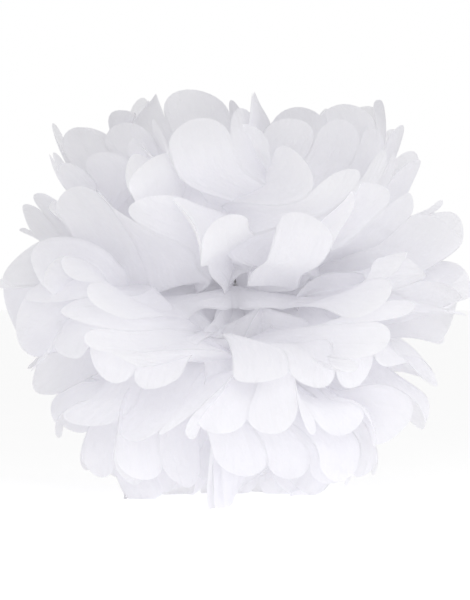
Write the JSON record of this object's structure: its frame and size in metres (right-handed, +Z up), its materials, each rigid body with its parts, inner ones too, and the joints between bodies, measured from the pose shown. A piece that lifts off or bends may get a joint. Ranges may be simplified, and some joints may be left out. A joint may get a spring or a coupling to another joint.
{
  "type": "tissue paper pom pom",
  "caption": "Round hanging party decoration of white tissue: one pleated, wire-tied stack with rounded ends, fluffed out into a ball of petals.",
  "frame": {"origin": "on the table under the middle of the ball, which is also under the tie", "axes": "+X along the pleated strip, out through the middle of the right fan of petals; +Y through the back slit between the two fans; +Z up"},
  "size_m": [0.3542, 0.329, 0.3089],
  "materials": {
    "tissue": "soft matt white tissue that lets some light through",
    "wire": "bright galvanised florist's wire"
  },
  "bodies": {
    "root": {"tissue_sheet_01": "tissue", "tissue_sheet_02": "tissue", "tissue_sheet_03": "tissue", "tissue_sheet_04": "tissue", "tissue_sheet_05": "tissue", "tissue_sheet_06": "tissue", "tissue_sheet_07": "tissue", "tissue_sheet_08": "tissue", "tissue_sheet_09": "tissue", "tissue_sheet_10": "tissue", "wire_tie": "wire"}
  },
  "joints": []
}
